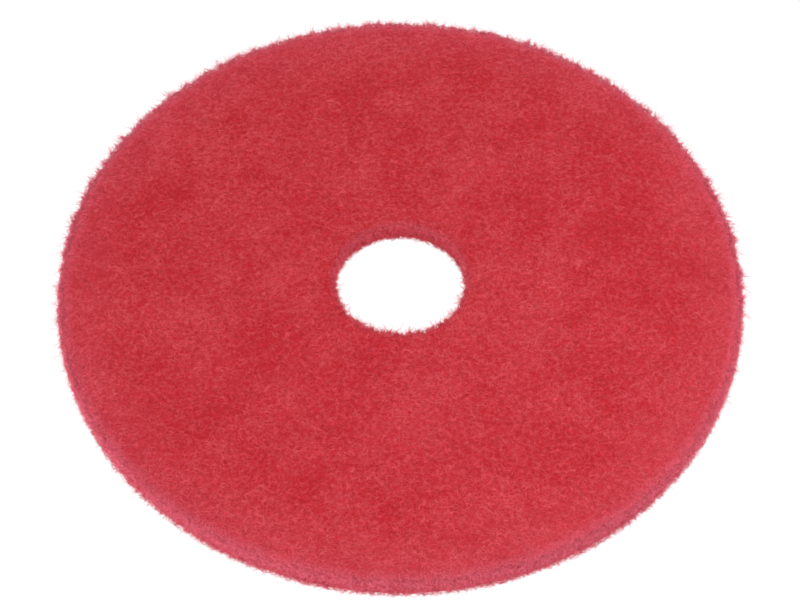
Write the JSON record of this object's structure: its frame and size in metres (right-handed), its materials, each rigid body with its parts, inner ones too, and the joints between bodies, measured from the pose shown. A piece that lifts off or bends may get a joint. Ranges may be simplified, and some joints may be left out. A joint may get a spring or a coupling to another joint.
{
  "type": "floor pad",
  "caption": "Round red pad of open non-woven fibre with a centre hole, gripped under the driver of a rotary floor machine.",
  "frame": {"origin": "centre of the hole, on the face that lies on the floor", "axes": "+Z along the hole, from the floor face up to the face that the pad driver grips; X and Y lie in the pad's plane"},
  "size_m": [0.4319, 0.432, 0.015],
  "materials": {
    "fibre_web": "matte"
  },
  "bodies": {
    "root": {"floor_pad": "fibre_web"}
  },
  "joints": []
}
